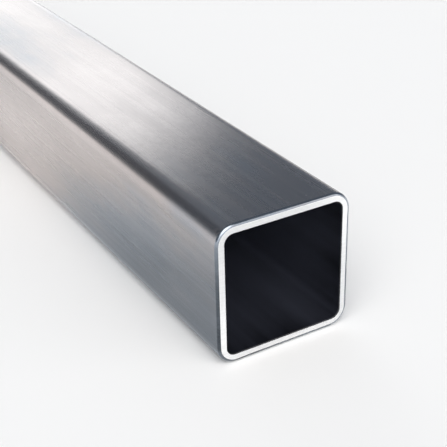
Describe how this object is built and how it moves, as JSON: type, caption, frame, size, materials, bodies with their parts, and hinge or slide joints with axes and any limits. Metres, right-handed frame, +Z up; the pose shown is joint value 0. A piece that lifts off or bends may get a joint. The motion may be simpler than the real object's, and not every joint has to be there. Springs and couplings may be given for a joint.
{
  "type": "square metal tube",
  "caption": "Straight length of cold-formed square steel tube, open at both dressed ends, with rounded corners and a square bore. Stock for frames, posts and brackets.",
  "frame": {"origin": "on the supporting surface, under the middle of the tube", "axes": "+X runs along the tube, +Y is across it to one side, and +Z is up, square to the resting face"},
  "size_m": [1, 0.05, 0.05],
  "materials": {
    "steel": "bare bright steel, drawn and brushed along its length, with a few faint scuffs; the cut ends are filed bright and the bore is left dark from the mill"
  },
  "bodies": {
    "root": {"square_tube": "steel"}
  },
  "joints": []
}
